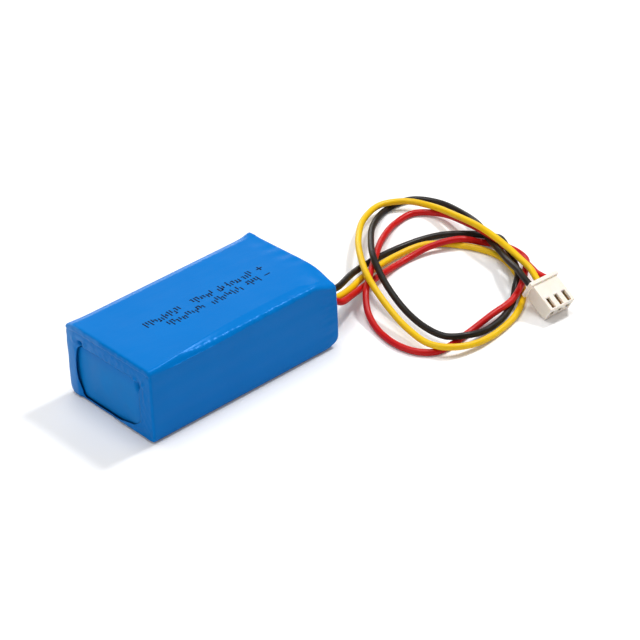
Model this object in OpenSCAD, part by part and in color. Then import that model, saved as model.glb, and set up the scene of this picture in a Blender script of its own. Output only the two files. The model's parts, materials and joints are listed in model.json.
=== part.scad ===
// Four-cell pouch battery pack in a heat-shrink film, with three coiled leads and a three-way plug.
// Frame: origin at the centre of the pack's base, +X towards the lead end, +Z up, millimetres.

/* [Pack] */
// Length of the wrapped pack, along X
pack_len = 56; // [54:0.5:64]
// Width of the wrapped pack, along Y
pack_w = 29.6; // [28.6:0.2:36]
// Height of the wrapped pack, along Z
pack_h = 19.4; // [18.4:0.2:26]
// Radius of the film's long edges
long_edge_r = 1.4; // [1.2:0.1:1.8]
// Radius of the film's edges around each end face
end_edge_r = 1; // [0.8:0.1:1.4]
// Thickness of the shrink film
film_t = 0.25; // [0.15:0.05:0.3]
// Width of the film's folded lip around the lead end's face
lip_w = 3.4; // [2.6:0.2:4.4]

/* [Cells] */
// Thickness of each adhesive pad between two cells
pad_t = 0.15; // [0.1:0.05:0.3]
// Length of the sealed terrace that the tabs leave through
terrace_len = 3.3; // [2.6:0.1:3.8]
// Width of a cell tab
tab_w = 4; // [3:0.5:5]
// Thickness of a cell tab
tab_t = 0.1; // [0.08:0.02:0.2]
// Distance of each tab from the middle of its cell
tab_y = 8; // [6.5:0.25:9]
// Wall of the laminate pouch
pouch_wall = 0.15; // [0.1:0.05:0.25]

/* [Leads] */
// Outside diameter of a lead's insulation
lead_d = 1.55; // [1.3:0.05:1.56]
// Bore of the insulation
bore_d = 0.74; // [0.6:0.02:0.8]
// Diameter of the stranded copper core
core_d = 0.64; // [0.4:0.02:0.66]
// Distance between two leads where they leave the pack
exit_pitch = 2; // [1.8:0.1:2.2]
// Height of the leads where they leave the pack
exit_z = 9.5; // [8.5:0.25:10.5]
// Longest step between two rings of a lead
lead_step = 2.8; // [2.4:0.2:5]
// Gap left between two spans of a lead at each flexing place
flex_gap = 1; // [1:0.1:1.2]

/* [Plug] */
// Width of the plug's body
plug_w = 7.8; // [7.6:0.1:9]
// Length of the plug from its nose to its back
plug_len = 8.5; // [8:0.1:9]
// Height of the plug's body
plug_h = 4.5; // [4.4:0.1:5.2]
// Distance between two ways of the plug
way_pitch = 2.5; // [2.5:0.05:2.54]
// Turn of the plug about Z, in degrees
plug_yaw = -3.5; // [-5:0.5:-2]
// Slope of the plug, nose down, in degrees
plug_tilt = 30; // [28:1:32]

/* [Hidden] */
$fn = 48;
fit = 0.05;             // gap between two pieces that lie against each other
film_blue = "#0a7fd6";
card_blue = "#1b6fb4";
kapton = "#c98a2b";
nickel = "#b9b6ad";
copper = "#b8733a";
solder = "#c9ccd0";
plug_white = "#f1ede3";

// Pack layout along X
end_x = pack_len / 2;
cavity_x = end_x - film_t;
card_t = 0.3;
cell_x0 = -cavity_x + 0.75;
board_t = 0.8;
board_x = cavity_x - 2.45;               // inner face of the board
link_t = 0.15;
link_x = board_x - 1.6;                  // inner face of the nickel links
tab_foot_x = link_x - tab_t - fit;       // inner face of each tab's turned-up foot
terrace_x = tab_foot_x - 0.5;            // free edge of the cells' terraces
body_x = terrace_x - terrace_len;        // where the cells' full bodies end

// Cell stack, from the base up
tape_t = 0.08;
stack_z0 = film_t + fit + tape_t + fit;
stack_h = pack_h - 2 * stack_z0;
cell_t = (stack_h - 3 * pad_t) / 4;
cell_w = pack_w - 2 * (film_t + tape_t + 2.5 * fit);
cell_r = 2;
terrace_t = 0.6;
seal_t = 0.34;
seal_w = tab_w + 1.6;
function cell_z(n) = stack_z0 + (n - 1) * (cell_t + pad_t);
function cell_mid(n) = cell_z(n) + cell_t / 2;

// Board
board_w = pack_w - 4.6;
board_h = 13;
board_z = pack_h / 2;
hole_r = 0.45;
exit_y = -8.5;
lead_r = lead_d / 2;
glue_x = cavity_x - 1.55;
stub_x = end_x - 1.2;                    // where each lead's insulation starts

// A rectangle with rounded corners, centred, built from true arcs
module rounded_rect(w, h, r) {
    square([w - 2 * r, h], center = true);
    square([w, h - 2 * r], center = true);
    for (sx = [-1, 1]) {
        for (sy = [-1, 1]) {
            translate([sx * (w / 2 - r), sy * (h / 2 - r)]) circle(r = r);
        }
    }
}

// A flat profile drawn as (y, z), pushed out along +X from x0
module along_x(x0, len) {
    translate([x0, 0, 0]) rotate([90, 0, 90]) linear_extrude(height = len) children();
}

// The pack's outer block shrunk by inset on every side, with its edges rounded
module rounded_block(inset) {
    l = pack_len - 2 * inset;
    w = pack_w - 2 * inset;
    h = pack_h - 2 * inset;
    intersection() {
        along_x(-l / 2, l) translate([0, pack_h / 2]) rounded_rect(w, h, long_edge_r - inset);
        translate([0, 0, inset]) linear_extrude(height = h) rounded_rect(l, w, end_edge_r - inset);
        translate([0, w / 2, pack_h / 2]) rotate([90, 0, 0]) linear_extrude(height = w)
            rounded_rect(l, h, end_edge_r - inset);
    }
}

// The window that the film leaves open at the lead end
module lead_window() {
    h = pack_h - 2 * lip_w;
    corner_r = h * 0.34;
    translate([0, pack_h / 2]) rounded_rect(pack_w - 2 * lip_w, h, corner_r);
}

// The window at the plain end: the film is folded further over the card at the top and at -Y
module plain_window() {
    base_lip = 1.1;
    far_lip = 1.7;
    top_lip = lip_w + 0.9;
    near_lip = lip_w + 0.5;
    corner_r = 3;
    h = pack_h - top_lip - base_lip;
    translate([(near_lip - far_lip) / 2, base_lip + h / 2])
        rounded_rect(pack_w - near_lip - far_lip, h, corner_r);
}

module shrink_sleeve() {
    color(film_blue) difference() {
        rounded_block(0);
        rounded_block(film_t);
        along_x(-end_x - 1, 2) plain_window();
        along_x(end_x - 1, 2) lead_window();
    }
}

module end_card_blank(x0) {
    inset = film_t + end_edge_r - 0.4;
    along_x(x0, card_t) translate([0, pack_h / 2]) rounded_rect(pack_w - 2 * inset, pack_h - 2 * inset, 1);
}

module plain_end_card() {
    color(card_blue) end_card_blank(-cavity_x + fit);
}

module lead_end_card() {
    slot_w = 2 * exit_pitch + lead_d + 0.8;
    slot_h = lead_d + 0.8;
    color(card_blue) difference() {
        end_card_blank(cavity_x - fit - card_t);
        along_x(cavity_x - 2, 4) translate([exit_y, exit_z]) rounded_rect(slot_w, slot_h, slot_h * 0.4);
    }
}

// One band of tape around the middle of the cell stack
module cell_wrap_tape() {
    band_w = 14;
    tape_r = cell_r + tape_t;
    outer_w = pack_w - 2 * (film_t + fit);
    outer_h = pack_h - 2 * (film_t + fit);
    color(kapton) along_x(-band_w / 2, band_w) translate([0, pack_h / 2]) difference() {
        rounded_rect(outer_w, outer_h, tape_r);
        rounded_rect(outer_w - 2 * tape_t, outer_h - 2 * tape_t, tape_r - tape_t);
    }
}

// Three double-sided pads, one in each gap between two cells
module cell_pads() {
    pad_len = 32;
    pad_w = 18;
    pad_gap = 0.01;
    color("#dcd9d0") for (n = [1:3]) {
        translate([-pad_len / 2, -pad_w / 2, cell_z(n) + cell_t + pad_gap])
            cube([pad_len, pad_w, pad_t - 2 * pad_gap]);
    }
}

// Laminate pouch: a hollow body and a terrace with two passages for the tabs
module cell_pouch(n) {
    body_len = body_x - cell_x0;
    color("#c4c7cb") difference() {
        union() {
            along_x(cell_x0, body_len) translate([0, cell_mid(n)]) rounded_rect(cell_w, cell_t, cell_r);
            translate([body_x - 1, -cell_w / 2 + 1, cell_mid(n) - terrace_t / 2])
                cube([terrace_len + 1, cell_w - 2, terrace_t]);
        }
        along_x(cell_x0 + pouch_wall, body_len - 2 * pouch_wall) translate([0, cell_mid(n)])
            rounded_rect(cell_w - 2 * pouch_wall, cell_t - 2 * pouch_wall, cell_r - pouch_wall);
        for (side = [-1, 1]) {
            translate([body_x - 0.5, side * tab_y - seal_w / 2 - 0.02, cell_mid(n) - seal_t / 2 - 0.02])
                cube([terrace_len + 1, seal_w + 0.04, seal_t + 0.04]);
        }
    }
}

// Wound electrodes and separator, a flat oval roll that fills the pouch
module cell_electrode_roll(n) {
    roll_gap = 0.06;
    roll_h = cell_t - 2 * (pouch_wall + roll_gap);
    roll_w = cell_w - 2 * (pouch_wall + 0.3);
    roll_x0 = cell_x0 + pouch_wall + 0.4;
    color("#3b3d42") along_x(roll_x0, body_x - pouch_wall - 1.2 - roll_x0)
        translate([0, cell_mid(n)]) rounded_rect(roll_w, roll_h, roll_h * 0.45);
}

// Tab: from the roll through the terrace, then a foot turned towards its link
module cell_tab(n, side, shade) {
    foot_h = 1.5;
    lift = (n % 2 == 1) ? 0 : -foot_h;
    tab_x0 = body_x - pouch_wall - 1.15;
    color(shade) {
        translate([tab_x0, side * tab_y - tab_w / 2, cell_mid(n) - tab_t / 2])
            cube([tab_foot_x + tab_t - tab_x0, tab_w, tab_t]);
        translate([tab_foot_x, side * tab_y - tab_w / 2, cell_mid(n) - tab_t / 2 + lift])
            cube([tab_t, tab_w, foot_h + tab_t]);
    }
}

// Resin strips that seal the two tabs into the terrace
module cell_tab_seals(n) {
    slot = 0.02;
    color("#e8e2d2") for (side = [-1, 1]) {
        difference() {
            translate([body_x - 0.1, side * tab_y - seal_w / 2, cell_mid(n) - seal_t / 2])
                cube([terrace_len + 0.4, seal_w, seal_t]);
            translate([body_x - 1, side * tab_y - tab_w / 2 - slot, cell_mid(n) - tab_t / 2 - slot])
                cube([terrace_len + 3, tab_w + 2 * slot, tab_t + 2 * slot]);
        }
    }
}

// Polarity of the stack: cells 1 and 2 in parallel, then in series with cells 3 and 4
function positive_side(n) = (n <= 2) ? 1 : -1;

// A nickel strip standing against the tab feet from cell a to cell b at the given side
module link_strip(a, b, side) {
    strip_w = tab_w - 0.4;
    z0 = cell_mid(a) - 0.6;
    translate([link_x, side * tab_y - strip_w / 2, z0]) cube([link_t, strip_w, cell_mid(b) + 0.6 - z0]);
}

// A short finger from a link to the board's inner face
module link_finger(y, z) {
    finger_w = 2;
    translate([link_x, y - finger_w / 2, z - link_t / 2])
        cube([board_x - fit - link_x, finger_w, link_t]);
}

finger_z = [cell_mid(1) + 1.7, board_z, cell_mid(4) - 1.7];

module negative_link() {
    color(nickel) {
        link_strip(1, 2, -1);
        link_finger(-tab_y, finger_z[0]);
    }
}

module midpoint_link() {
    color(nickel) {
        link_strip(1, 4, 1);
        link_finger(tab_y, finger_z[1]);
    }
}

module positive_link() {
    color(nickel) {
        link_strip(3, 4, -1);
        link_finger(-tab_y, finger_z[2]);
    }
}

// Fillets that fix the links' fingers to the board, above and below each finger
module link_solder_joints() {
    r = 0.5;
    len = 1.8;
    for (k = [0:2]) {
        y = (k == 1) ? tab_y : -tab_y;
        for (s = [-1, 1]) {
            color(solder) translate([board_x - 0.02, y, finger_z[k] + s * (link_t / 2 + 0.02)])
                rotate([90, 0, 0]) intersection() {
                    cylinder(r = r, h = len, center = true);
                    translate([-r, s > 0 ? 0 : -r, -len / 2]) cube([r, r, len]);
                }
        }
    }
}

// Insulating sheet between the links and the parts on the board
module link_insulator() {
    sheet_t = 0.08;
    sheet_x = link_x + link_t + 0.1;
    slot_w = 2.6;
    slot_h = 1.4;
    color(kapton) difference() {
        along_x(sheet_x, sheet_t) translate([0, board_z]) rounded_rect(board_w, pack_h - 4, 0.8);
        for (k = [0:2]) {
            translate([sheet_x - 1, (k == 1 ? tab_y : -tab_y) - slot_w / 2, finger_z[k] - slot_h / 2])
                cube([2, slot_w, slot_h]);
        }
    }
}

module protection_board() {
    color("#1f6b3a") difference() {
        along_x(board_x, board_t) translate([0, board_z]) rounded_rect(board_w, board_h, 0.8);
        for (k = [0:2]) {
            translate([board_x - 1, exit_y + (k - 1) * exit_pitch, exit_z]) rotate([0, 90, 0])
                cylinder(r = hole_r, h = 3);
        }
    }
}

// A part soldered on the board's inner face, centred on (y, z): height off the board, width, length
module board_part(y, z, high, w, l) {
    translate([board_x - 0.02 - high, y - w / 2, z - l / 2]) cube([high, w, l]);
}

module power_mosfets() {
    color("#2a2a2c") for (k = [0, 1]) {
        board_part(-1.6 + k * 3.6, board_z + 2.6, 0.9, 3, 4.4);
    }
}

module protection_ic() {
    color("#26262a") board_part(0.6, board_z - 3, 0.9, 2.9, 1.6);
}

module chip_resistors() {
    color("#1c1c1e") for (k = [0:2]) {
        board_part(4 + k * 1.2, board_z - 3.2, 0.45, 0.8, 1.6);
    }
}

module chip_capacitors() {
    color("#b08d5a") for (k = [0, 1]) {
        board_part(-3.6 + k * 1.4, board_z - 3.2, 0.6, 0.8, 1.6);
    }
}

// A collar of solder around each lead's copper on the board's outer face
module lead_solder_joints() {
    color(solder) for (k = [0:2]) {
        translate([board_x + board_t + 0.02, exit_y + (k - 1) * exit_pitch, exit_z]) rotate([0, 90, 0])
            difference() {
                cylinder(r1 = 0.85, r2 = 0.5, h = 0.5);
                translate([0, 0, -1]) cylinder(r = core_d / 2 + 0.02, h = 3);
            }
    }
}

// Hot-melt glue that holds the three leads against the board
module lead_glue() {
    glue_w = 2 * exit_pitch + lead_d + 2.6;
    glue_h = lead_d + 2.6;
    color("#e9e6da") difference() {
        along_x(glue_x + fit, cavity_x - card_t - 0.15 - glue_x) translate([exit_y, exit_z])
            rounded_rect(glue_w, glue_h, 1.2);
        for (k = [0:2]) {
            translate([glue_x - 1, exit_y + (k - 1) * exit_pitch, exit_z]) rotate([0, 90, 0])
                cylinder(r = 0.9, h = 4);
        }
    }
}

// Plug frame: origin at the middle of the nose's lower edge, Y towards the leads, Z up out of the plug
plug_nose = [end_x + 46.25, -42, 0.05];
plug_across = [cos(plug_yaw), sin(plug_yaw), 0];
plug_back = [-sin(plug_yaw) * cos(plug_tilt), cos(plug_yaw) * cos(plug_tilt), sin(plug_tilt)];
plug_up = cross(plug_across, plug_back);
insert_len = 1.2;                        // length of insulation inside the plug
core_reach = 4.2;                        // length of copper inside the plug
function in_plug(q) = plug_nose + q[0] * plug_across + q[1] * plug_back + q[2] * plug_up;
// A place behind the plug: sideways, distance behind its back face, above its middle height
function behind_plug(q) = in_plug([q[0], plug_len + q[1], plug_h / 2 + q[2]]);

// Where each lead lies between the pack and the plug: distance in front of the pack's end, Y, height
black_stations = [
    [5.5, -6, 8.8], [10, -4.5, 7.5], [17.5, -0.5, 5.5], [23, 2, 4], [32.5, 5.2, 1.6], [42, 5.5, 0.8],
    [51, 3, 0.8], [57, -2, 0.8], [59.7, -7, 1], [59.3, -10.5, 2.2], [56.4, -16.1, 2.5], [53.3, -21.2, 2.5],
    [50, -25.6, 2.5], [46, -28.5, 1.8], [42, -31.5, 0.8], [35.5, -34.6, 0.8], [28, -36, 1.2],
    [22, -35.5, 2.4], [18.5, -32.5, 2.4], [17.7, -27, 2.4], [19, -18.5, 2.8], [22, -8.5, 4.5],
    [26.5, 0.5, 5.9], [33, 8.5, 4.6], [42, 17, 2.2], [51, 21.5, 0.8], [58.5, 20.5, 0.8],
    [62.3, 14.5, 0.8], [62.5, 6, 1.1], [59.7, -3, 2.4], [56.3, -9.5, 2.8], [52.6, -17.3, 4],
    [49.5, -23, 5.2], [47, -28.5, 6.3]
];
yellow_stations = [
    [5.5, -8.3, 8.2], [13.5, -4.8, 5.4], [20, -1.5, 3.8], [30, 2.3, 1.6], [38, 3.5, 0.8], [46, 2, 0.8],
    [51.3, -4, 0.8], [54, -10, 0.8], [54.5, -16, 0.8], [52, -23, 0.8], [49, -28, 0.8], [44.5, -32.5, 0.8],
    [38, -36.2, 0.8], [29, -38.3, 0.8], [21.5, -38.5, 1.6], [16, -36.5, 2.4], [13.5, -32, 2.4],
    [14.3, -23.5, 2.6], [16, -15, 4.2], [18.5, -6.5, 6.4], [24.5, 3, 5.8], [32.5, 12.5, 4.2],
    [41, 19.5, 3], [49, 22, 2.6], [55, 19, 2.4], [57.5, 12, 2.8], [56.5, 2, 4.6], [55, -8, 6.1],
    [53.5, -17, 6.1], [51.2, -25, 6.2], [49.4, -30, 6.6]
];
red_stations = [
    [5.5, -10.4, 7.9], [10.5, -8, 6], [16.5, -5, 4], [28, -1, 1.6], [36, 0.5, 0.8], [45, -0.5, 1.8],
    [51.8, -4, 2.4], [55.6, -7, 1.2], [57.9, -10, 0.8], [59.3, -14.5, 0.8], [58.3, -20, 1],
    [52.5, -25.7, 2.8], [47, -29.7, 2.8], [40.5, -32.6, 2.4], [33, -33.3, 2.1], [26, -33.3, 0.8],
    [19.5, -34.2, 0.8], [14, -33.8, 0.8], [10.8, -30.5, 0.8], [9.5, -25, 0.8], [10.5, -18, 0.8],
    [13, -11.5, 2.2], [16, -7.7, 4.4], [19.5, -4.8, 4.8], [28.5, 2.5, 3.9], [39, 10.5, 2.2],
    [48, 15, 0.8], [54.5, 15, 0.8], [58.3, 9, 1.4], [57.5, 0, 3.1], [56, -8, 4.5], [55, -17, 4.5],
    [53, -25, 4.5], [51, -29.8, 5.1]
];
coil_stations = [black_stations, yellow_stations, red_stations];
// Where each lead crosses the two flexing places behind the plug: sideways, behind, above
tilt_cut = [[-1.6, 3.4, -1.6], [1.3, 3.4, -1.3], [3.05, 3.4, -2.65]];
sway_cut = [[-2.45, 0.9, -0.3], [0.2, 0.9, -0.25], [2.5, 0.9, -0.6]];

// All the stations of lead k (0 black, 1 yellow, 2 red), from the board to the inside of the plug
function stations(k, start_x, reach) = let (y = exit_y + (1 - k) * exit_pitch, way = (k - 1) * way_pitch)
    concat(
        [[start_x, y, exit_z], [end_x + 0.3, y, exit_z], [end_x + 1.5, y, exit_z - 0.05],
            [end_x + 3.5, y + 0.1, exit_z - 0.3]],
        [for (s = coil_stations[k]) [end_x + s[0], s[1], s[2]]],
        [for (q = [tilt_cut[k], sway_cut[k], [way, 0, 0], [way, -reach, 0]]) behind_plug(q)]
    );
// Station numbers at which a lead's spans begin and end: tail, elbow, coil, neck, end
function cuts(k) = let (n = len(coil_stations[k])) [0, 2, 4, 4 + n, 5 + n, 7 + n];

// A point on the smooth curve through four stations, between the middle two (centripetal spline)
function unit(v) = v / norm(v);
function curve_point(p0, p1, p2, p3, t) =
    let (
        d1 = sqrt(norm(p1 - p0)), d2 = sqrt(norm(p2 - p1)), d3 = sqrt(norm(p3 - p2)),
        m1 = d2 * ((p1 - p0) / d1 - (p2 - p0) / (d1 + d2) + (p2 - p1) / d2),
        m2 = d2 * ((p2 - p1) / d2 - (p3 - p1) / (d2 + d3) + (p3 - p2) / d3),
        t2 = t * t, t3 = t2 * t
    )
    (2 * t3 - 3 * t2 + 1) * p1 + (t3 - 2 * t2 + t) * m1 + (3 * t2 - 2 * t3) * p2 + (t3 - t2) * m2;

// Keeps a lead from sinking into the surface that the pack stands on
function on_table(q) = [q[0], q[1], max(q[2], lead_r + 0.01)];

// Ring centres from station a to station b, cut short by trim_a and trim_b millimetres
function span_points(s, a, b, trim_a, trim_b) = [
    for (i = [a:b - 1])
        let (
            gap = norm(s[i + 1] - s[i]),
            before = i > 0 ? s[i - 1] : 2 * s[0] - s[1],
            after = i + 2 < len(s) ? s[i + 2] : 2 * s[i + 1] - s[i],
            t0 = i == a ? trim_a / gap : 0,
            t1 = i == b - 1 ? 1 - trim_b / gap : 1,
            steps = ceil(gap * (t1 - t0) / lead_step),
            last = i == b - 1 ? steps : steps - 1
        )
        for (j = [0:last])
            on_table(curve_point(before, s[i], s[i + 1], after, t0 + (t1 - t0) * j / steps))
];

// A ring of n points of radius r, square to the path at its point i
function ring(path, i, r, n) =
    let (
        tangent = unit(path[min(i + 1, len(path) - 1)] - path[max(i - 1, 0)]),
        side = unit(cross([0, 0, 1], tangent)),
        top = cross(tangent, side)
    )
    [for (j = [0:n - 1]) path[i] + r * (cos(360 * j / n) * side + sin(360 * j / n) * top)];

// Two triangles for each wall panel between ring i and the next; skip is the point count of one step
function wall_faces(rings, n, skip, first, flip) = [
    for (i = [0:rings - 2])
        for (j = [0:n - 1])
            let (
                a = first + i * skip + j,
                b = first + i * skip + (j + 1) % n,
                c = b + skip,
                d = a + skip
            )
            each flip ? [[a, d, c], [a, c, b]] : [[a, b, c], [a, c, d]]
];

// A solid round strand along a path
module strand(path, r) {
    n = 6;
    rings = len(path);
    points = [for (i = [0:rings - 1]) each ring(path, i, r, n)];
    start_cap = [for (j = [0:n - 1]) n - 1 - j];
    end_cap = [for (j = [0:n - 1]) (rings - 1) * n + j];
    polyhedron(points, concat(wall_faces(rings, n, n, 0, false), [start_cap, end_cap]), convexity = 8);
}

// A round tube along a path
module sheath(path, r_out, r_in) {
    n = 12;
    rings = len(path);
    points = [for (i = [0:rings - 1]) each concat(ring(path, i, r_out, n), ring(path, i, r_in, n))];
    tail_first = (rings - 1) * 2 * n;
    start_cap = [for (j = [0:n - 1]) let (k = (j + 1) % n) each [[j, n + j, n + k], [j, n + k, k]]];
    end_cap = [for (f = start_cap) [for (v = [2, 1, 0]) f[v] + tail_first]];
    walls = concat(wall_faces(rings, n, 2 * n, 0, false), wall_faces(rings, n, 2 * n, n, true));
    polyhedron(points, concat(walls, start_cap, end_cap), convexity = 8);
}

// Gap taken off each end of span m, halved at every flexing place
function trim_start(m) = m == 0 ? 0 : flex_gap / 2;
function trim_end(m) = m == 4 ? 0 : flex_gap / 2;

// Span m of lead k's insulation
module lead_span(k, m, shade) {
    s = stations(k, stub_x, insert_len);
    c = cuts(k);
    color(shade) sheath(span_points(s, c[m], c[m + 1], trim_start(m), trim_end(m)), lead_r, bore_d / 2);
}

// Span m of the three copper cores
module core_span(m) {
    for (k = [0:2]) {
        s = stations(k, board_x - 0.3, core_reach);
        c = cuts(k);
        color(copper) strand(span_points(s, c[m], c[m + 1], trim_start(m), trim_end(m)), core_d / 2);
    }
}

lead_black = "#2b2725";
lead_yellow = "#efc20c";
lead_red = "#cf1d1a";
module black_lead(m) { lead_span(0, m, lead_black); }
module yellow_lead(m) { lead_span(1, m, lead_yellow); }
module red_lead(m) { lead_span(2, m, lead_red); }

// Draws its children in the plug's own frame
module at_plug() {
    translate(plug_nose) rotate([plug_tilt, 0, plug_yaw]) children();
}

flange_t = 1;
flange_over = 0.45;
way_w = 1.9;
way_h = 2.7;
way_start = 0.4;
nose_open_w = 1.3;
nose_open_h = 1.5;
window_w = 1.1;
window_len = 2.9;

// Housing: body and back flange, with three ways right through it and a window over each way
module plug_housing() {
    color(plug_white) at_plug() difference() {
        union() {
            translate([-plug_w / 2, 0, 0]) cube([plug_w, plug_len - flange_t, plug_h]);
            translate([-plug_w / 2 - flange_over, plug_len - flange_t, -flange_over])
                cube([plug_w + 2 * flange_over, flange_t, plug_h + 2 * flange_over]);
        }
        for (k = [-1:1]) {
            translate([k * way_pitch - way_w / 2, way_start, (plug_h - way_h) / 2])
                cube([way_w, plug_len, way_h]);
            translate([k * way_pitch - nose_open_w / 2, -1, (plug_h - nose_open_h) / 2])
                cube([nose_open_w, 2, nose_open_h]);
            translate([k * way_pitch - window_w / 2, way_start, plug_h / 2])
                cube([window_w, window_len, plug_h]);
        }
    }
}

// Contacts: a square socket at the front and a crimped barrel around the copper behind it
module crimp_contacts() {
    socket_len = 3.2;
    socket_w = way_w - 0.2;
    socket_h = 1.9;
    pin_w = 0.9;
    barrel_r = 0.62;
    barrel_len = 1.6;
    color(nickel) at_plug() for (k = [-1:1]) {
        translate([k * way_pitch, 0, plug_h / 2]) difference() {
            union() {
                translate([-socket_w / 2, way_start + 0.2, -socket_h / 2])
                    cube([socket_w, socket_len, socket_h]);
                translate([0, way_start + 0.2 + socket_len + barrel_len, 0]) rotate([90, 0, 0])
                    cylinder(r = barrel_r, h = barrel_len + 0.3);
            }
            translate([-pin_w / 2, 0, -pin_w / 2]) cube([pin_w, way_start + socket_len - 0.4, pin_w]);
            translate([0, plug_len, 0]) rotate([90, 0, 0])
                cylinder(r = core_d / 2 + 0.03, h = plug_len - way_start - socket_len + 0.5);
        }
    }
}

shrink_sleeve();
plain_end_card();
lead_end_card();
cell_wrap_tape();
cell_pads();
cell_pouch(1);  // cell_1_pouch
cell_electrode_roll(1);  // cell_1_electrode_roll
cell_tab(1, positive_side(1), "#cfd2d6");  // cell_1_positive_tab
cell_tab(1, -positive_side(1), nickel);  // cell_1_negative_tab
cell_tab_seals(1);  // cell_1_tab_seals
cell_pouch(2);  // cell_2_pouch
cell_electrode_roll(2);  // cell_2_electrode_roll
cell_tab(2, positive_side(2), "#cfd2d6");  // cell_2_positive_tab
cell_tab(2, -positive_side(2), nickel);  // cell_2_negative_tab
cell_tab_seals(2);  // cell_2_tab_seals
cell_pouch(3);  // cell_3_pouch
cell_electrode_roll(3);  // cell_3_electrode_roll
cell_tab(3, positive_side(3), "#cfd2d6");  // cell_3_positive_tab
cell_tab(3, -positive_side(3), nickel);  // cell_3_negative_tab
cell_tab_seals(3);  // cell_3_tab_seals
cell_pouch(4);  // cell_4_pouch
cell_electrode_roll(4);  // cell_4_electrode_roll
cell_tab(4, positive_side(4), "#cfd2d6");  // cell_4_positive_tab
cell_tab(4, -positive_side(4), nickel);  // cell_4_negative_tab
cell_tab_seals(4);  // cell_4_tab_seals
negative_link();
midpoint_link();
positive_link();
link_solder_joints();
link_insulator();
protection_board();
power_mosfets();
protection_ic();
chip_resistors();
chip_capacitors();
lead_solder_joints();
lead_glue();
black_lead(0);  // black_lead_tail
black_lead(1);  // black_lead_elbow
black_lead(2);  // black_lead_coil
black_lead(3);  // black_lead_neck
black_lead(4);  // black_lead_end
yellow_lead(0);  // yellow_lead_tail
yellow_lead(1);  // yellow_lead_elbow
yellow_lead(2);  // yellow_lead_coil
yellow_lead(3);  // yellow_lead_neck
yellow_lead(4);  // yellow_lead_end
red_lead(0);  // red_lead_tail
red_lead(1);  // red_lead_elbow
red_lead(2);  // red_lead_coil
red_lead(3);  // red_lead_neck
red_lead(4);  // red_lead_end
core_span(0);  // copper_cores_tail
core_span(1);  // copper_cores_elbow
core_span(2);  // copper_cores_coil
core_span(3);  // copper_cores_neck
core_span(4);  // copper_cores_end
plug_housing();
crimp_contacts();
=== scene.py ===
import json
import math
import random

import bmesh
import bpy
import numpy as np
from mathutils import Matrix, Vector


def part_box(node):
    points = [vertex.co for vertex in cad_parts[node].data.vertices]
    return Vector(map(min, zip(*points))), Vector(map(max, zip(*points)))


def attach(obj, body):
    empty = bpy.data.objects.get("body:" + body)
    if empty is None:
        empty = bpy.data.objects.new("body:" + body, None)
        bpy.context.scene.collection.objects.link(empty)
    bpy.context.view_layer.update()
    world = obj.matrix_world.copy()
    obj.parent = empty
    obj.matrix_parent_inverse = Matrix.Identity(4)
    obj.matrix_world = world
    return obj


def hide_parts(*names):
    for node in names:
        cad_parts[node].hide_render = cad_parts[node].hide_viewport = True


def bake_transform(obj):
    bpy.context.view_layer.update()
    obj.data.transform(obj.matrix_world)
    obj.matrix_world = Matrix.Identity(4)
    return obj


MM = 0.001

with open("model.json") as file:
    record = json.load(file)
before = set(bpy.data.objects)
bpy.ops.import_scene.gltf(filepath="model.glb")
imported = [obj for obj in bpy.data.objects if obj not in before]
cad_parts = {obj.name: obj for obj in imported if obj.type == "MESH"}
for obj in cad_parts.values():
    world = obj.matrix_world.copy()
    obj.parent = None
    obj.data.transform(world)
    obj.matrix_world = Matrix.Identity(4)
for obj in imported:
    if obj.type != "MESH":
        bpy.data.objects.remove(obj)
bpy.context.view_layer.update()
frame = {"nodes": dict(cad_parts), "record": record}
nodes = frame["nodes"]


# ---------------------------------------------------------------- small helpers

def srgb(r, g, b):
    """An sRGB colour in 0 to 255 as a linear RGBA tuple."""
    out = []
    for v in (r, g, b):
        v /= 255
        out.append(v / 12.92 if v <= 0.04045 else ((v + 0.055) / 1.055) ** 2.4)
    return (*out, 1.0)


def smooth(t):
    """Smooth step from 0 to 1, for arrays or numbers."""
    t = np.clip(t, 0, 1)
    return t * t * (3 - 2 * t)


def hump(a, b, ca, cb, sa, sb):
    """A bell of height 1 at (ca, cb) with widths sa and sb."""
    return np.exp(-(((a - ca) / sa) ** 2) - ((b - cb) / sb) ** 2)


def waves(a, b, seed, size, count=5):
    """Irregular ripples between about -1 and 1, with features of the given size."""
    rng = random.Random(seed)
    total = 0
    for _ in range(count):
        angle = rng.uniform(0, math.tau)
        k = math.tau / (size * rng.uniform(0.7, 1.6))
        phase = rng.uniform(0, math.tau)
        total = total + np.sin(k * (a * math.cos(angle) + b * math.sin(angle)) + phase)
    return total / count


def mesh_object(name, verts, faces, smooth_shade=True):
    """A new object from vertices in millimetres."""
    mesh = bpy.data.meshes.new(name)
    mesh.from_pydata([tuple(np.asarray(v, float) * MM) for v in verts], [], faces)
    mesh.validate()
    obj = bpy.data.objects.new(name, mesh)
    bpy.context.scene.collection.objects.link(obj)
    bm = bmesh.new()
    bm.from_mesh(mesh)
    bmesh.ops.recalc_face_normals(bm, faces=bm.faces)
    for f in bm.faces:
        f.smooth = smooth_shade
    bm.to_mesh(mesh)
    bm.free()
    return obj


def sharpen(obj, degrees):
    """Marks edges steeper than the angle as sharp, so that smooth shading stops there."""
    bm = bmesh.new()
    bm.from_mesh(obj.data)
    for e in bm.edges:
        if len(e.link_faces) == 2:
            e.smooth = e.calc_face_angle(0) < math.radians(degrees)
    bm.to_mesh(obj.data)
    bm.free()


def grid_faces(rows, cols, wrap):
    """Quads over a grid of rows x cols points; wrap joins the last column to the first."""
    faces = []
    for i in range(rows - 1):
        for j in range(cols if wrap else cols - 1):
            k = (j + 1) % cols
            faces.append((i * cols + j, i * cols + k, (i + 1) * cols + k, (i + 1) * cols + j))
    return faces


# ---------------------------------------------------------------- materials

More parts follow.
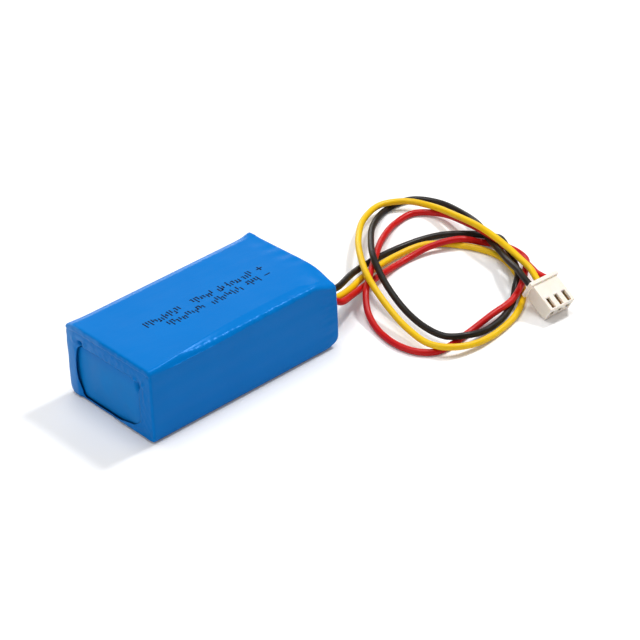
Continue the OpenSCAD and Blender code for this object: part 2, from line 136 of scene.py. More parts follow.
class Surface:
    """A principled material with its noise-driven colour, roughness and bump."""

    def __init__(self, name):
        self.material = bpy.data.materials.new(name)
        self.material.use_nodes = True
        self.tree = self.material.node_tree
        self.tree.nodes.clear()
        self.bsdf = self.node("ShaderNodeBsdfPrincipled")
        out = self.node("ShaderNodeOutputMaterial")
        self.link(self.bsdf.outputs["BSDF"], out.inputs["Surface"])
        self.coords = self.node("ShaderNodeTexCoord").outputs["Object"]

    def node(self, kind, **inputs):
        n = self.tree.nodes.new(kind)
        for key, value in inputs.items():
            n.inputs[key.replace("_", " ")].default_value = value
        return n

    def link(self, a, b):
        self.tree.links.new(a, b)

    def noise(self, size_mm, detail=3.0, stretch=(1, 1, 1)):
        """Noise from 0 to 1 with features of about size_mm."""
        mapping = self.node("ShaderNodeMapping")
        mapping.inputs["Scale"].default_value = tuple(s / (size_mm * MM) for s in stretch)
        self.link(self.coords, mapping.inputs["Vector"])
        n = self.node("ShaderNodeTexNoise", Scale=1.0, Detail=detail)
        self.link(mapping.outputs["Vector"], n.inputs["Vector"])
        return n.outputs["Fac"]

    def spread(self, value, low, high, to_low, to_high):
        n = self.node("ShaderNodeMapRange", From_Min=low, From_Max=high, To_Min=to_low, To_Max=to_high)
        self.link(value, n.inputs["Value"])
        return n.outputs["Result"]

    def mix(self, factor, a, b):
        n = self.node("ShaderNodeMix")
        n.data_type = "RGBA"
        self.link(factor, n.inputs["Factor"])
        for socket, value in (("A", a), ("B", b)):
            target = [i for i in n.inputs if i.name == socket and i.type == "RGBA"][0]
            if isinstance(value, tuple):
                target.default_value = value
            else:
                self.link(value, target)
        return [o for o in n.outputs if o.type == "RGBA"][0]

    def ramp(self, axis, start, end):
        """0 to 1 as the object's coordinate goes from start to end, in mm."""
        parts = self.node("ShaderNodeSeparateXYZ")
        self.link(self.coords, parts.inputs[0])
        n = self.node("ShaderNodeMapRange", From_Min=start * MM, From_Max=end * MM)
        n.interpolation_type = "SMOOTHSTEP"
        self.link(parts.outputs[axis], n.inputs["Value"])
        return n.outputs["Result"]

    def maths(self, operation, a, b):
        n = self.node("ShaderNodeMath")
        n.operation = operation
        for socket, value in zip(n.inputs, (a, b)):
            if isinstance(value, (int, float)):
                socket.default_value = value
            else:
                self.link(value, socket)
        return n.outputs[0]

    def hollow_shade(self, reach_mm):
        """0 in the open to 1 in deep hollows, from ambient occlusion: the mask for painted shade."""
        n = self.node("ShaderNodeAmbientOcclusion", Distance=reach_mm * MM)
        n.samples = 8
        return self.spread(n.outputs["AO"], 0.95, 0.45, 0.0, 1.0)

    def colour(self, source):
        self.link(source, self.bsdf.inputs["Base Color"])

    def roughness(self, source):
        self.link(source, self.bsdf.inputs["Roughness"])

    def bump(self, sources, depth_mm):
        """Adds bump from the given (height, share) pairs."""
        total = None
        for height, share in sources:
            scaled = self.maths("MULTIPLY", height, share)
            total = scaled if total is None else self.maths("ADD", total, scaled)
        n = self.node("ShaderNodeBump", Strength=1.0, Distance=depth_mm * MM)
        self.link(total, n.inputs["Height"])
        self.link(n.outputs["Normal"], self.bsdf.inputs["Normal"])


def simple_surface(name, dark, light, size, rough, metallic=0.0, grain=0.25, grain_depth=0.01, coat=0.0):
    """Two tones of one colour mixed by noise, with uneven roughness and fine grain."""
    s = Surface(name)
    tone = s.spread(s.noise(size), 0.35, 0.65, 0.0, 1.0)
    s.colour(s.mix(tone, dark, light))
    s.roughness(s.spread(s.noise(size * 0.6), 0.3, 0.7, rough - 0.06, rough + 0.06))
    s.bump([(s.noise(grain), 1.0), (s.noise(size), 1.5)], grain_depth)
    s.bsdf.inputs["Metallic"].default_value = metallic
    s.bsdf.inputs["Coat Weight"].default_value = coat
    s.bsdf.inputs["Coat Roughness"].default_value = 0.2
    return s.material


# The pigment filters most of what the film mirrors, except at grazing angles
FILM_TINT = (0.04, 0.36, 1.0, 1.0)


def film_tone(s):
    """The film's blue, varied a little over the pack."""
    blotch = s.noise(14.0, 1.0)
    return s.mix(blotch, srgb(0, 117, 202), srgb(0, 123, 209))


def film_material():
    """Glossy blue heat-shrink film, with paler streaks on the plain end's lips, and its far lip painted
    paler, as lit.
    """
    s = Surface("shrink_film")
    geometry = s.node("ShaderNodeNewGeometry")
    # painted highlight: sharp convex edges of the film are painted a lighter blue
    edge_highlight = s.spread(geometry.outputs["Pointiness"], 0.52, 0.57, 0.0, 0.35)
    tone = s.mix(edge_highlight, film_tone(s), srgb(40, 140, 218))
    at_end = s.ramp("X", -27.5, -27.95)
    streaks = s.spread(s.noise(3.2, 2.0, (1, 0.4, 1)), 0.45, 0.7, 0.0, 0.6)
    streaks = s.maths("MULTIPLY", streaks, s.ramp("Y", -9.5, -5.0))
    # painted light: the plain end's far lip is painted paler, as lit
    far_lip = s.maths("MULTIPLY", s.ramp("Y", 11.8, 13.2), 0.8)
    streaks_and_lit_lip = s.maths("MULTIPLY", at_end, s.maths("MAXIMUM", streaks, far_lip))
    # paler streaks, and painted light on the far lip, only on the plain end
    tone = s.mix(streaks_and_lit_lip, tone, srgb(84, 150, 222))
    # painted shade: the film is darkened towards deep blue in hollows, creases and dents
    s.colour(s.mix(s.maths("MULTIPLY", s.hollow_shade(1.0), 0.6), tone, srgb(0, 48, 110)))
    s.roughness(s.spread(s.noise(9.0, 1.0), 0.0, 1.0, 0.28, 0.34))
    s.bump(
        [(s.noise(0.35, 2.0), 0.10), (s.noise(3.0, 2.0, (0.35, 1, 1)), 0.9), (s.noise(14.0, 2.0), 2.2)],
        0.05,
    )
    s.bsdf.inputs["Specular Tint"].default_value = FILM_TINT
    s.bsdf.inputs["Specular IOR Level"].default_value = 0.35
    return s.material


def panel_material():
    """The plain end's panel: duller and greyer, running into the film's blue at the top and at -Y."""
    s = Surface("end_panel")
    blotch = s.spread(s.noise(8.0, 2.0), 0.25, 0.75, 0.0, 1.0)
    card = s.mix(blotch, srgb(2, 126, 208), srgb(8, 134, 216))
    border = s.maths("MAXIMUM", s.ramp("Z", 12.0, 14.8), s.ramp("Y", -8.4, -10.6))
    tone = s.mix(border, card, film_tone(s))
    # painted shade: the panel is darkened towards deep blue in hollows, along the groove under the film's
    # edge
    s.colour(s.mix(s.maths("MULTIPLY", s.hollow_shade(0.8), 0.8), tone, srgb(0, 36, 90)))
    s.roughness(s.spread(s.noise(4.0), 0.3, 0.7, 0.38, 0.48))
    s.bump([(s.noise(0.3, 2.0), 0.12), (s.noise(3.5), 1.0)], 0.05)
    s.bsdf.inputs["Specular Tint"].default_value = FILM_TINT
    s.bsdf.inputs["Specular IOR Level"].default_value = 0.35
    return s.material


def insulation_material(name, dark, light, rough, sheen=0.0):
    """Extruded PVC: a satin skin with very faint long ripples."""
    s = Surface(name)
    tone = s.spread(s.noise(7.0, 3.0), 0.35, 0.65, 0.0, 1.0)
    s.colour(s.mix(tone, dark, light))
    s.roughness(s.spread(s.noise(1.6, 2.0), 0.3, 0.7, rough - 0.05, rough + 0.07))
    s.bump([(s.noise(0.18, 2.0), 0.25), (s.noise(2.2, 2.0), 0.8)], 0.02)
    s.bsdf.inputs["Coat Weight"].default_value = sheen
    s.bsdf.inputs["Coat Roughness"].default_value = 0.3
    s.bsdf.inputs["Specular IOR Level"].default_value = 0.3
    return s.material


def nylon_material():
    """Moulded natural nylon, faintly translucent."""
    s = Surface("ivory_nylon")
    tone = s.spread(s.noise(2.5, 3.0), 0.35, 0.65, 0.0, 1.0)
    s.colour(s.mix(tone, srgb(249, 235, 219), srgb(253, 240, 227)))
    s.roughness(s.spread(s.noise(1.2), 0.3, 0.7, 0.36, 0.48))
    s.bump([(s.noise(0.12, 2.0), 0.6), (s.noise(1.5), 1.0)], 0.012)
    s.bsdf.inputs["Subsurface Weight"].default_value = 0.35
    s.bsdf.inputs["Subsurface Radius"].default_value = (0.0015, 0.0012, 0.0009)
    s.bsdf.inputs["Subsurface Scale"].default_value = 1.0
    return s.material


def ink_material():
    s = Surface("ink")
    tone = s.spread(s.noise(0.5, 3.0), 0.3, 0.7, 0.0, 1.0)
    s.colour(s.mix(tone, srgb(0, 12, 40), srgb(2, 24, 62)))
    s.roughness(s.spread(s.noise(0.4), 0.3, 0.7, 0.5, 0.65))
    s.bsdf.inputs["Specular IOR Level"].default_value = 0.15
    return s.material


FILM = film_material()
PANEL = panel_material()
NYLON = nylon_material()
INK = ink_material()
LEAD = {
    "black": insulation_material("black_insulation", srgb(30, 26, 24), srgb(40, 35, 32), 0.42, 0.15),
    "yellow": insulation_material("yellow_insulation", srgb(240, 192, 2), srgb(247, 202, 6), 0.40, 0.08),
    "red": insulation_material("red_insulation", srgb(192, 4, 6), srgb(204, 12, 12), 0.40, 0.08),
}
# Finish of each CAD slot: dark tone, light tone, size of the blotches in mm, roughness, metallic, coat
CAD_FINISHES = {
    "blue_card": ((18, 84, 150), (26, 96, 166), 3, 0.5, 0, 0),
    "polyimide_tape": ((176, 108, 30), (206, 134, 44), 4, 0.25, 0, 0.4),
    "adhesive_pad": ((214, 210, 200), (228, 225, 217), 2, 0.75, 0, 0),
    "laminate_pouch": ((168, 172, 177), (196, 199, 203), 5, 0.38, 0.85, 0),
    "electrode_roll": ((40, 41, 46), (58, 60, 66), 2, 0.6, 0, 0),
    "aluminium_tab": ((196, 199, 203), (214, 216, 220), 2, 0.3, 1.0, 0),
    "nickel_strip": ((160, 156, 146), (186, 182, 172), 2, 0.34, 1.0, 0),
    "tab_seal_resin": ((222, 214, 192), (236, 230, 214), 2, 0.45, 0, 0),
    "solder": ((178, 181, 186), (206, 209, 213), 1, 0.24, 1.0, 0),
    "board_laminate": ((20, 84, 44), (28, 104, 56), 3, 0.4, 0, 0.3),
    "black_chip": ((28, 28, 30), (40, 40, 43), 1, 0.5, 0, 0),
    "tan_ceramic": ((158, 122, 76), (184, 146, 96), 1, 0.55, 0, 0),
    "hot_melt_glue": ((222, 218, 204), (238, 235, 226), 2, 0.3, 0, 0.3),
    "copper_strand": ((168, 98, 56), (196, 124, 76), 0.6, 0.32, 1.0, 0),
    "tinned_contact": ((172, 144, 104), (200, 172, 130), 0.8, 0.36, 0.85, 0),
}
CAD_MATERIALS = {
    name: simple_surface(name, srgb(*dark), srgb(*light), size, rough, metallic, coat=coat)
    for name, (dark, light, size, rough, metallic, coat) in CAD_FINISHES.items()
}


def paint(obj, material):
    obj.data.materials.clear()
    obj.data.materials.append(material)


for part in frame["record"]["subparts"]:
    if part["material_slot"] in CAD_MATERIALS:
        paint(nodes[part["node"]], CAD_MATERIALS[part["material_slot"]])


# ---------------------------------------------------------------- the film sleeve

low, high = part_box("shrink_sleeve")
HALF_L = (high.x - low.x) / 2 / MM
HALF_W = (high.y - low.y) / 2 / MM
HEIGHT = (high.z - low.z) / MM
LONG_R = 1.2            # radius of the film's long edges
END_R = 0.6             # radius of its edges round the end faces
FILM_T = 0.2            # thickness of the film and of the panels drawn behind its openings
END_SKEW = 0.048        # how far the lead end leans, in mm along the pack for each mm across it
CELLS = 4               # pouch cells in the stack
TOP_SEGMENTS = 90
SIDE_SEGMENTS = 46
CORNER_SEGMENTS = 7
BODY_ROWS = 150
LIP_ROWS = 14
EDGE_ROWS = 6


def section(y0, y1, z0, z1, radii):
    """Points (y, z) round a rectangle with its own radius at each corner.
    The radii are at (+y, +z), (+y, -z), (-y, -z), (-y, +z), and the points start on the top, at -y."""
    a, b, c, d = radii
    points = []

    def run(p, q, n):
        for i in range(n):
            points.append((p[0] + (q[0] - p[0]) * i / n, p[1] + (q[1] - p[1]) * i / n))

    def turn(cy, cz, r, start):
        for i in range(CORNER_SEGMENTS):
            t = math.radians(start - 90 * i / CORNER_SEGMENTS)
            points.append((cy + r * math.cos(t), cz + r * math.sin(t)))

    run((y0 + d, z1), (y1 - a, z1), TOP_SEGMENTS)
    turn(y1 - a, z1 - a, a, 90)
    run((y1, z1 - a), (y1, z0 + b), SIDE_SEGMENTS)
    turn(y1 - b, z0 + b, b, 0)
    run((y1 - b, z0), (y0 + c, z0), TOP_SEGMENTS)
    turn(y0 + c, z0 + c, c, -90)
    run((y0, z0 + c), (y0, z1 - d), SIDE_SEGMENTS)
    turn(y0 + d, z1 - d, d, 180)
    return np.array(points)


def block_section(inset):
    r = max(LONG_R - inset, 0.3)
    return section(-HALF_W + inset, HALF_W - inset, inset, HEIGHT - inset, (r, r, r, r))


# The openings that the folded film leaves at the two ends: y from, y to, z from, z to, in mm,
# and their corner radii in the order that section() takes
PLAIN_OPENING = (-10.4, 12.1, 0.7, 15.0)
PLAIN_RADII = (1.4, 0.6, 3.2, 1.5)
LEAD_OPENING = (-11.4, 11.4, 3.4, 16.0)
LEAD_RADII = (4.2, 4.2, 4.2, 4.2)


def plain_window():
    """The plain end's opening: its far side is bowed, and its lower edge rises in an arc towards -Y."""
    points = section(*PLAIN_OPENING, PLAIN_RADII)
    bow = 0.027 * (points[:, 1] - 8.5) ** 2 * smooth((points[:, 0] - 8) / 3)
    low_share = smooth((7 - points[:, 1]) / 6.5)
    points[:, 1] += 0.0155 * np.maximum(1.5 - points[:, 0], 0) ** 2 * low_share
    points[:, 0] -= bow
    return points


PLAIN_WINDOW = plain_window()
LEAD_WINDOW = section(*LEAD_OPENING, LEAD_RADII)


def crease_width(x):
    """Width of the slack strip of film along the near top edge, at each x."""
    grow = np.sin(math.pi / 2 * np.clip((x + HALF_L) / 36, 0, 1))
    return 0.05 + 3.05 * grow * smooth((HALF_L - 4 - x) / 5)


def crease_drop(x):
    """How far the strip's outer edge lies below the top, at each x."""
    return (0.40 + 0.55 * smooth((10 - x) / 26)) * smooth((x + HALF_L) / 9) * smooth((HALF_L - 5 - x) / 4)


def bell(distance, width):
    return np.exp(-((distance / width) ** 2))


def pucker(y, z):
    """Depth of the puckers in the two upper corners of the plain end's opening."""
    dents = 1.2 * hump(y, z, 10.7, 15.3, 0.9, 0.6) + 1.2 * hump(y, z, -10.1, 13.7, 0.55, 1.1)
    ridges = (
        0.45 * hump(y, z, 12.3, 15.8, 0.55, 0.9)
        + 0.40 * hump(y, z, 8.6, 15.6, 0.8, 0.5)
        + 0.42 * hump(y, z, -9.2, 15.0, 1.0, 0.6)
        + 0.40 * hump(y, z, -12.0, 15.0, 0.5, 0.9)
        + 0.28 * hump(y, z, -12.3, 11.8, 0.4, 1.4)
    )
    return dents - ridges


def shape_film(p):
    """Sags, dents and folds of the film, from its plain rounded shape. Points in mm."""
    x0, y0, z0 = p[:, 0], p[:, 1], p[:, 2]
    x, y, z = x0.copy(), y0.copy(), z0.copy()
    on_top = smooth((z0 - (HEIGHT - 1.6)) / 1.2)
    # a slack strip along the near top edge, with one line of the grid led along its fold
    width = np.maximum(crease_width(x0), LONG_R + 0.5)
    fold, seam, still = HALF_W - width, HALF_W - 3.0, HALF_W - 7.0
    outer = np.clip((-y0 - seam) / (HALF_W - LONG_R - seam), 0, 1)
    inner = np.clip((-y0 - still) / (seam - still), 0, 1)
    strip_y = np.where(-y0 > seam, fold + (HALF_W - LONG_R - fold) * outer, still + (fold - still) * inner)
    led = (z0 > HEIGHT - 1e-6) & (-y0 > still) & (-y0 <= HALF_W - LONG_R + 1e-6)
    led_share = smooth((x0 + HALF_L) / 4) * smooth((HALF_L - 1.5 - x0) / 3.5)
    y = np.where(led, y0 - (strip_y + y0) * led_share, y)
    across = np.clip((-y - (HALF_W - crease_width(x0))) / np.maximum(crease_width(x0), 0.05), 0, 1)
    z -= crease_drop(x0) * across * on_top
    # the far long edge is eased, which catches the light
    z -= 0.17 * np.clip((y0 - (HALF_W - LONG_R - 0.8)) / 0.8, 0, 1) * on_top
    rim = bell(y0 + HALF_W - 0.55, 0.6) * on_top
    in_strip = smooth((x0 + 19) / 5) * smooth((HALF_L - 4 - x0) / 4)
    lumps = 0.5 + 0.5 * waves(x0, y0 * 0.3, 7, 3.6, 4) + 0.35 * waves(x0, y0, 8, 1.5, 4)
    z += 0.20 * lumps * rim * in_strip
    y -= 0.12 * lumps * rim * in_strip
    z += 0.05 * waves(x0, y0, 9, 2.4, 4) * across * on_top * in_strip
    # the top and the sides show a little of the cells under them
    middle = smooth((HALF_L - np.abs(x0)) / 4) * smooth((HALF_W - np.abs(y0)) / 3)
    z += 0.05 * waves(x0, y0, 3, 17) * on_top * middle
    on_side = smooth((np.abs(y0) - (HALF_W - 0.6)) / 0.5) * smooth((HALF_L - np.abs(x0)) / 3)
    between_cells = 0.5 + 0.5 * np.cos(math.tau * (z0 - HEIGHT / 2) / (HEIGHT / CELLS))
    inside = smooth(z0 / 2.5) * smooth((HEIGHT - z0) / 2.5)
    y -= np.sign(y0) * on_side * inside * (0.05 * between_cells + 0.04 * waves(x0, z0, 11, 12))
    # the corners at the lead end are pressed in where the film gathers over the board
    top_near = hump(HALF_L - x0, HALF_W + y0, 0, 0, 4.2, 5.2) * smooth((z0 - HEIGHT + 11) / 11)
    z -= 2.2 * top_near
    x -= 0.25 * top_near
    low_near = bell(np.hypot(np.hypot(HALF_L - x0, (HALF_W + y0) * 0.7), z0), 1.7)
    x -= 1.0 * low_near
    z += 0.6 * low_near
    top_far = bell(np.hypot(np.hypot(HALF_L - x0, HALF_W - y0), HEIGHT - z0), 2.4)
    x += 0.15 * top_far
    y += 0.4 * top_far
    z += 0.35 * top_far
    # the lead end is not quite square to the pack: further out at the near side
    x += -END_SKEW * y0 * smooth((x0 - (HALF_L - 9)) / 8.4) * smooth(z0 / 2.5 + 0.2)
    # short creases run in from the lead end
    lead_side = smooth((x0 - (HALF_L - 7)) / 7) * smooth((HALF_L - 0.1 - x0) / 0.5)
    y += 0.16 * waves(x0 * 0.4, z0, 21, 2.6, 4) * lead_side * on_side * np.sign(-y0)
    z += 0.12 * waves(x0 * 0.4, y0, 22, 3.2, 4) * lead_side * on_top
    # plain end: small folds gather in the upper corners of the opening
    end = smooth((-x0 - (HALF_L - END_R * 1.2)) / 0.5)
    welt = 0.08 * bell(HEIGHT - 1.1 - z0, 0.3) - 0.12 * bell(HEIGHT - 1.7 - z0, 0.35)
    x += end * (pucker(y0, z0) - welt)
    x -= end * (0.08 * waves(y0, z0 * 0.5, 31, 3.0, 4) + 0.04 * waves(y0, z0, 32, 1.3, 4))
    # plain end: the far upright edge bulges outwards
    bulge = bell(np.hypot((HALF_L + x0) * 0.8, HALF_W - y0), 2.6) * smooth(z0 / 4 + 0.35)
    x -= 0.42 * bulge
    y += 0.42 * bulge
    # plain end: the far and lower lips stand a little proud of the card
    far_lip = smooth((y0 - 11.2) / 1.0) * smooth((HALF_W - 0.3 - y0) / 1.2) * smooth((15.5 - z0) / 2)
    low_lip = smooth((1.4 - z0) / 0.9) * smooth((z0 - 0.2) / 0.5) * smooth((1 - y0) / 4)
    x -= end * 0.22 * np.maximum(far_lip, low_lip)
    return np.stack([x, y, z], 1)


def sleeve_rows():
    """The film's rows from the plain end's opening, along the pack, to the lead end's opening."""
    rows = []

    def lip(window, sign, forward):
        border = block_section(END_R)
        steps = range(LIP_ROWS) if forward else range(LIP_ROWS, -1, -1)
        for i in steps:
            t = i / LIP_ROWS
            points = window * (1 - t) + border * t
            rows.append((sign * HALF_L, points))

    def edge(sign, forward):
        steps = range(EDGE_ROWS) if forward else range(EDGE_ROWS - 1, 0, -1)
        for i in steps:
            t = math.radians(90 * i / EDGE_ROWS)
            inset = END_R * (1 - math.sin(t))
            rows.append((sign * (HALF_L - END_R * (1 - math.cos(t))), block_section(inset)))

    lip(PLAIN_WINDOW, -1, True)
    edge(-1, True)
    for i in range(BODY_ROWS + 1):
        rows.append((-HALF_L + END_R + (2 * HALF_L - 2 * END_R) * i / BODY_ROWS, block_section(0)))
    edge(1, False)
    lip(LEAD_WINDOW, 1, False)
    return rows


def build_sleeve():
    rows = sleeve_rows()
    count = len(rows[0][1])
    points = np.concatenate([np.column_stack([np.full(count, x), yz]) for x, yz in rows])
    points = shape_film(points)
    points[:, 2] = np.maximum(points[:, 2], 0.0)
    obj = mesh_object("film_sleeve", points, grid_faces(len(rows), count, True))
    thick = obj.modifiers.new("thickness", "SOLIDIFY")
    thick.thickness = FILM_T * MM
    thick.offset = -1
    paint(obj, FILM)
    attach(obj, "pack")
    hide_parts("shrink_sleeve")


build_sleeve()


def build_panel(name, node, sign, face_x, recess, hole, skew=0.0):
    """A card panel behind one of the openings, seen through it. hole is (y0, y1, z0, z1) or None."""
    lo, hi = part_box(node)
    tuck = 0.0003           # metres: how far the panel goes on below its card, behind the film's lower lip
    y0, y1, z0, z1 = (v / MM for v in (lo.y, hi.y, lo.z - tuck, hi.z))
    if hole is None:
        cols, lines = 70, 46
        ys = np.linspace(y0, y1, cols)
        zs = np.linspace(z0, z1, lines)
        yz = np.array([(y, z) for z in zs for y in ys])
        faces = grid_faces(lines, cols, False)
    else:
        margin = 1.3
        outer = section(y0 + margin, y1 - margin, z0 + margin, z1 - margin, (1, 1, 1, 1))
        r = (hole[3] - hole[2]) / 2 * 0.8
        inner = section(*hole, (r, r, r, r))
        steps = 14
        yz = np.concatenate([inner * (1 - i / steps) + outer * i / steps for i in range(steps + 1)])
        faces = grid_faces(steps + 1, len(outer), True)
    y, z = yz[:, 0], yz[:, 1]
    x = face_x - sign * recess(y, z) - skew * y
    obj = mesh_object(name, np.column_stack([x, y, z]), faces)
    outward = sum((p.normal.x for p in obj.data.polygons))
    if outward * sign < 0:
        obj.data.flip_normals()
    thick = obj.modifiers.new("thickness", "SOLIDIFY")
    thick.thickness = FILM_T * MM
    thick.offset = -1
    paint(obj, PANEL)
    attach(obj, "pack")
    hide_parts(node)


def plain_recess(y, z):
    """Depth of the plain end's panel below the film: nearly flush at the near and upper sides."""
    far = smooth((y - 3) / 7)
    low_side = smooth((7 - z) / 6)
    depth = 0.05 + 0.55 * np.maximum(far, low_side * smooth((y + 10.5) / 5))
    return depth + 0.03 * waves(y, z, 41, 6) + np.maximum(pucker(y, z), 0)


def lead_recess(y, z):
    return 0.3 + 0.05 * waves(y, z, 43, 6)


lead_low, lead_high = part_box("black_lead_tail")
red_low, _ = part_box("red_lead_tail")
SLOT_ROOM = 0.4         # between the leads and the edge of the slot in the lead end's card, in mm
slot_box = (
    red_low.y / MM - SLOT_ROOM,
    lead_high.y / MM + SLOT_ROOM,
    lead_low.z / MM - SLOT_ROOM,
    lead_high.z / MM + SLOT_ROOM,
)
build_panel("plain_end_panel", "plain_end_card", -1, -HALF_L, plain_recess, None)
build_panel("lead_end_panel", "lead_end_card", 1, HALF_L, lead_recess, slot_box, END_SKEW)


# ---------------------------------------------------------------- ink marks

def film_top(x, y):
    """Height of the film's top at (x, y), in mm."""
    return shape_film(np.array([[x, y, HEIGHT]]))[0, 2]


def build_ink():
    """Polarity signs and two rows of meaningless ticks, jetted as small dots."""
    rng = random.Random(5)
    dots = []
    pitch = 0.3

    def stroke(x0, y0, x1, y1):
        n = max(1, round(math.hypot(x1 - x0, y1 - y0) / pitch))
        for i in range(n + 1):
            dots.append((x0 + (x1 - x0) * i / n, y0 + (y1 - y0) * i / n))

    near_row, far_row = -2.6, 0.6
    tick_pitch, bar_length = 0.78, 0.31
    stroke(18.6, far_row, 17.2, far_row)
    stroke(17.9, far_row - 0.7, 17.9, far_row + 0.7)
    stroke(18.3, near_row, 17.0, near_row)
    # each group of ticks: where it starts along the pack, and how many it has
    groups_in_row = {
        far_row: [(15.2, 4), (11.4, 5), (6.8, 3), (3.4, 8), (-6.2, 14)],
        near_row: [(15.0, 5), (9.4, 12), (-1.8, 14)],
    }
    for row, groups in groups_in_row.items():
        for start, count in groups:
            for i in range(count):
                x = start - i * tick_pitch
                low_end, high_end = rng.choice([(-1, 1), (-1, 0.1), (-0.1, 1), (-0.4, 0.4)])
                stroke(x, row + low_end, x, row + high_end)
                if rng.random() < 0.4:
                    level = rng.choice([low_end, high_end, 0])
                    stroke(x, row + level, x - bar_length, row + level)
    verts, faces = [], []
    sides = 10
    dot_base, dot_top = 0.004, 0.016     # above the film, in mm
    for x, y in dots:
        x += rng.uniform(-0.03, 0.03)
        y += rng.uniform(-0.03, 0.03)
        r = rng.uniform(0.17, 0.22)
        first = len(verts)
        for lift in (dot_base, dot_top):
            for k in range(sides):
                t = math.tau * k / sides
                px, py = x + r * math.cos(t), y + r * math.sin(t)
                verts.append((px, py, film_top(px, py) + lift))
        faces.append([first + sides + k for k in range(sides)])
        faces.append([first + k for k in reversed(range(sides))])
        for k in range(sides):
            n = (k + 1) % sides
            faces.append([first + k, first + n, first + sides + n, first + sides + k])
    obj = mesh_object("ink_marks", verts, faces, False)
    paint(obj, INK)
    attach(obj, "pack")


build_ink()


# ---------------------------------------------------------------- leads

SPANS = ("tail", "elbow", "coil", "neck", "end")
LEAD_SIDES = 28
BORE_SIDES = 12
STEP = 0.5              # spacing of the rings along a lead, in mm
LEAD_FILL = 1.045       # radius of the drawn insulation over that of the twelve-sided CAD one
BORE_SHARE = 0.47       # radius of the bore over that of the insulation
RING_REACH = 1.8        # points this close to a cap's corner may belong to it, in mm
CAP_FLATNESS = 2e-3     # and lie within this of its plane, in mm
CAP_POINTS = 24         # outer and inner ring of twelve
CURVE_STEPS = 16        # points on the curve between two given ones


def ring_centres(node):
    """Centres of the rings of points that a CAD lead span is made of, in order from one end, in mm."""
    mesh = nodes[node].data
    keys, points, index = {}, [], []
    for v in mesh.vertices:
        key = tuple(round(c / 2e-7) for c in v.co)
        if key not in keys:
            keys[key] = len(points)
            points.append(np.array(v.co) / MM)
        index.append(keys[key])
    points = np.array(points)
    near = [set() for _ in points]
    triangles = []
    for p in mesh.polygons:
        tri = [index[v] for v in p.vertices]
        triangles.append(tri)
        for a in tri:
            near[a].update(b for b in tri if b != a)
    # an end cap is the flat face that holds a whole ring pair, outer and inner
    caps = []
    for tri in triangles:
        a, b, c = (points[i] for i in tri[:3])
        normal = np.cross(b - a, c - a)
        size = np.linalg.norm(normal)
        if size < 1e-6:
            continue
        close = np.linalg.norm(points - a, axis=1) < RING_REACH
        flat = close & (np.abs((points - a) @ (normal / size)) < CAP_FLATNESS)
        if flat.sum() >= CAP_POINTS:
            members = frozenset(np.nonzero(flat)[0].tolist())
            if members not in caps:
                caps.append(members)
    start = set(caps[0])
    seen, level, centres = set(start), start, []
    while level:
        centres.append(points[list(level)].mean(0))
        level = {b for a in level for b in near[a]} - seen
        seen |= level
    return np.array(centres)


def lead_centreline(colour):
    """One list of ring centres from the board to the plug."""
    line = None
    for span in SPANS:
        part = ring_centres(f"{colour}_lead_{span}")
        if line is None:
            if part[0][0] > part[-1][0]:
                part = part[::-1]
            line = part
        else:
            if np.linalg.norm(part[0] - line[-1]) > np.linalg.norm(part[-1] - line[-1]):
                part = part[::-1]
            line = np.concatenate([line, part])
    return line


def resample(points, step):
    """Evenly spaced points on the smooth curve through the given ones."""
    q = np.vstack([2 * points[0] - points[1], points, 2 * points[-1] - points[-2]])
    dense = []
    for i in range(1, len(q) - 2):
        p0, p1, p2, p3 = q[i - 1 : i + 3]
        d1, d2, d3 = (math.sqrt(np.linalg.norm(b - a)) for a, b in ((p0, p1), (p1, p2), (p2, p3)))
        m1 = d2 * ((p1 - p0) / d1 - (p2 - p0) / (d1 + d2) + (p2 - p1) / d2)
        m2 = d2 * ((p2 - p1) / d2 - (p3 - p1) / (d2 + d3) + (p3 - p2) / d3)
        for k in range(CURVE_STEPS):
            t = k / CURVE_STEPS
            a, b = t * t, t * t * t
            point = (2 * b - 3 * a + 1) * p1 + (b - 2 * a + t) * m1 + (3 * a - 2 * b) * p2 + (b - a) * m2
            dense.append(point)
    dense.append(points[-1])
    dense = np.array(dense)
    along = np.concatenate([[0], np.cumsum(np.linalg.norm(np.diff(dense, axis=0), axis=1))])
    count = round(along[-1] / step)
    where = np.linspace(0, along[-1], count + 1)
    return np.stack([np.interp(where, along, dense[:, k]) for k in range(3)], 1)


def tangents(path):
    t = np.gradient(path, axis=0)
    return t / np.linalg.norm(t, axis=1)[:, None]


def carried_frames(path):
    """Two directions across the path at each point, carried along it without twist."""
    t = tangents(path)
    side = np.cross((0, 0, 1), t[0])
    side /= np.linalg.norm(side)
    sides = []
    for direction in t:
        side = side - (side @ direction) * direction
        side /= np.linalg.norm(side)
        sides.append(side.copy())
    sides = np.array(sides)
    return sides, np.cross(t, sides)


